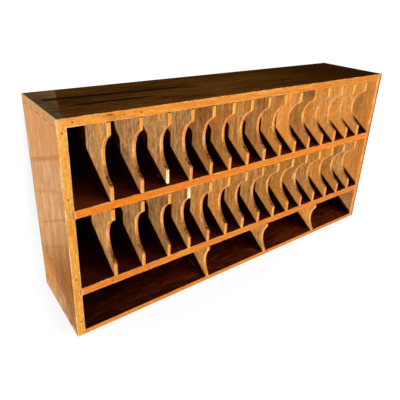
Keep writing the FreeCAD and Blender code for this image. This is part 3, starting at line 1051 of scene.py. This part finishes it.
# %% A bundle of splinters
def splinters(name, low, high, depth, seed):
    """A closed shell on a break. Seen from the front it fills the box from low to high, in metres.
    Over u across the wood and v up it, the front stands out by depth * edge(u, v) * ridges(u, v):
    edge falls to 0 on the outline, and ridges is a sum of cosines of u whose phases drift with v,
    sharpened by a square root so that the fibres look torn."""
    across, upwards, circle, sunk = 49, 97, 6.28, 0.0003
    u, v = np.meshgrid(np.linspace(0, 1, across), np.linspace(0, 1, upwards))
    rng = np.random.default_rng(seed)
    ridges = np.zeros_like(u)
    for count in (3, 5, 9, 14):
        phase, drift = rng.uniform(0, circle), rng.uniform(-2, 2)
        wave = circle * count * u + phase + drift * v * 2 + np.sin(circle * v * 2 + phase)
        ridges += np.cos(wave) / count
    ridges = (ridges - ridges.min()) / (ridges.max() - ridges.min())
    ragged_end = 0.86 + 0.14 * np.cos(circle * (4 * u + rng.uniform()))
    edge = np.clip(np.minimum(u, 1 - u) * 9, 0, 1) * np.clip(v * 14, 0, 1)
    edge = edge * np.clip((ragged_end - v) * 12, 0, 1)
    out = depth * edge * (0.35 + 0.65 * np.sqrt(ridges))
    x = low[0] + (high[0] - low[0]) * u
    z = low[2] + (high[2] - low[2]) * v
    front_grid = np.stack([x, high[1] - out, z], axis=-1)
    back_grid = np.stack([x, np.full_like(x, high[1] + sunk), z], axis=-1)
    index = np.arange(across * upwards).reshape(upwards, across)
    corners = [index[:-1, :-1], index[:-1, 1:], index[1:, 1:], index[1:, :-1]]
    quads = np.stack(corners, axis=-1).reshape(-1, 4)
    behind = quads[:, ::-1] + across * upwards
    loop = np.concatenate([index[0, :-1], index[:-1, -1], index[-1, :0:-1], index[:0:-1, 0]])
    following = np.roll(loop, -1)
    wall = [following, loop, loop + across * upwards, following + across * upwards]
    points = np.concatenate([front_grid.reshape(-1, 3), back_grid.reshape(-1, 3)])
    faces = np.concatenate([quads, behind, np.stack(wall, axis=-1)])
    mesh = bpy.data.meshes.new(name)
    mesh.from_pydata(points.tolist(), [], faces.tolist())
    print(name, "points:", len(points), "stands out by", round(float(out.max()) * 1000, 2), "mm")
    return into_scene(name, mesh)


# %% The finish of fresh splinters, and the two pieces
def splinter_finish():
    """Cream wood that has not seen light yet, dull all over."""
    f = Finish("fresh_split_wood")
    fibres = f.noise("Z", 20, 1.0, 9.0, 3.0, 0.65)
    return f.finish(fresh_colour(f), f.fade(fibres, 0.3, 0.8, 0.7, 0.85), fibres, 0.0004, 0.1)


split_wood = splinter_finish()
inset = 0.0004
# piece, divider, depth of the notch, and the heights of its foot and head, in metres
breaks = (("foot_break", "upper_divider_03", 0.009, 0.3795, 0.423),
          ("head_break", "middle_divider_04", 0.010, 0.3165, 0.3535))
for name, divider, notch, low_z, high_z in breaks:
    low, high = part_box(divider)
    corners = (low[0] + inset, 0, low_z), (high[0] - inset, front / 1000 + notch, high_z)
    torn = splinters(name, *corners, depth=0.003, seed=8)
    torn.data.materials.append(split_wood)
    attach(torn, "root")

# %% [markdown]
# ## The nails
# Nails of that age are plain steel, and damp air rusts them brown. Their heads are only a few
# millimetres wide, and one flat brown would do from afar. Close to, steel shines between the rust,
# so a mask of small patches mixes the two, and turns Metallic off where the rust is.

# %% The finish of the nails
def steel_finish():
    """Old steel: grey-brown, rusted in patches."""
    f = Finish("old_steel")
    rust = patches(f, 1.5, 3.0, 0.2, 0.45)
    f.feed("Metallic", 1 - rust)
    colour = f.mix(rust, tint(96, 80, 70), tint(92, 42, 24))
    return f.finish(colour, rust * 0.4 + 0.35, rust, 0.0002, 0.5)


steel = steel_finish()
for name in ("front_edge_nails", "back_panel_nails"):
    dress(name, steel)
    print(name, "are of", steel.name)

# %% [markdown]
# ## Floor and light
# The case stands on a plain white floor. The main light comes from the front left and slants a
# little upwards, from below the floor, so the floor is told to cast no shadow. It lights the left
# faces and the front edges and leaves a shadow in every hole that climbs towards the back. Soft
# boxes at the left, behind, right, above and in front fill the rest, so that every side can be
# seen. A light from below leaves nothing on the floor, so the floor's own formula adds the faint
# grey that a case has at its left and behind it. The floor and the room are white to the eye by
# Light Path and stay dark to the wood, because a really white room would wash out the shadows.

# %% The floor
def floor_sheet(reach):
    """A flat square: x and y each run from -reach to reach, z is a hair under the case."""
    corners = np.array([(-1, -1, 0), (1, -1, 0), (1, 1, 0), (-1, 1, 0)], float) * reach
    corners[:, 2] = -0.0005
    mesh = bpy.data.meshes.new("floor")
    mesh.from_pydata(corners.tolist(), [], [(0, 1, 2, 3)])
    return into_scene("floor", mesh)


floor_reach = 30.0
floor = floor_sheet(floor_reach)
floor.visible_shadow = False
print("the floor is", 2 * floor_reach, "m wide")

# %% The floor's white, and its faint shadow
white = Finish("white_floor")
seen = white.seen()
length = {"operation": "LENGTH"}
far_off = white.node("ShaderNodeVectorMath", length, {0: white.point}, out="Value")
behind_back = white.high(white.y - back, 0)
outside = (case_low[0] - white.x) + behind_back * 0.225
shadow = white.fade(outside, 85, -5) * white.fade(outside, -500, -50)
shadow = shadow * white.fade(white.y, -170, -60) * white.fade(white.y, 3200, 2000)
shade = shadow * white.fade(white.y, 0, 900, 0.13, 0.24)
plain = white.fade(far_off, 1500, 3000, 0.94, 1.0) * (1 - shade)
white.feed("Emission Color", white.dim((1, 1, 1), plain * seen))
white.feed("Emission Strength", 1.0)
white.feed("Base Color", white.dim((1, 1, 1), seen * 0.08 + 0.1))
white.feed("Roughness", 1.0)
white.feed("Specular IOR Level", 0.0)
floor.data.materials.append(white.owner)
print("the floor's finish has", len(white.tree.nodes), "nodes")


# %% The lights
def lamp(name, kind, place, target, energy, size):
    """A sun, whose size is an angle, or a square soft box, whose size is in metres."""
    data = bpy.data.lights.new(name, kind)
    data.energy = energy
    if kind == "SUN":
        data.angle = size
    else:
        data.shape, data.size = "SQUARE", size
    made = into_scene(name, data)
    made.location = place
    made.rotation_mode = "QUATERNION"
    made.rotation_quaternion = (Vector(target) - Vector(place)).to_track_quat("-Z", "Y")


lamp("main_light", "SUN", (-1.0, -1.5, -1.03), (0, 0, 0), 4.4, 0.008)
lamp("soft_box_left", "AREA", (-3.0, 0.8, 1.6), (-0.6, 0.1, 0.3), 24, 1.6)
lamp("soft_box_behind", "AREA", (-0.8, 2.6, 2.4), (0, 0, 0.3), 70, 2.0)
lamp("soft_box_right", "AREA", (2.8, 0.8, 2.0), (0.6, 0, 0.3), 45, 1.6)
lamp("soft_box_above", "AREA", (0.0, 0.6, 3.4), (0, 0, 0.3), 12, 2.0)
lamp("soft_box_front", "AREA", (2.4, -2.4, 3.0), (0.1, 0, 0.3), 60, 1.8)

# %% The room
room = Recipe(bpy.data.worlds.new("room"), "Background")
brightness = {"Value": room.seen(), "To Min": 0.025, "To Max": 1.0}
room.feed("Strength", room.node("ShaderNodeMapRange", values=brightness))
room.feed("Color", (1, 1, 1, 1))
bpy.context.scene.world = room.owner
print("the world is", bpy.context.scene.world.name)
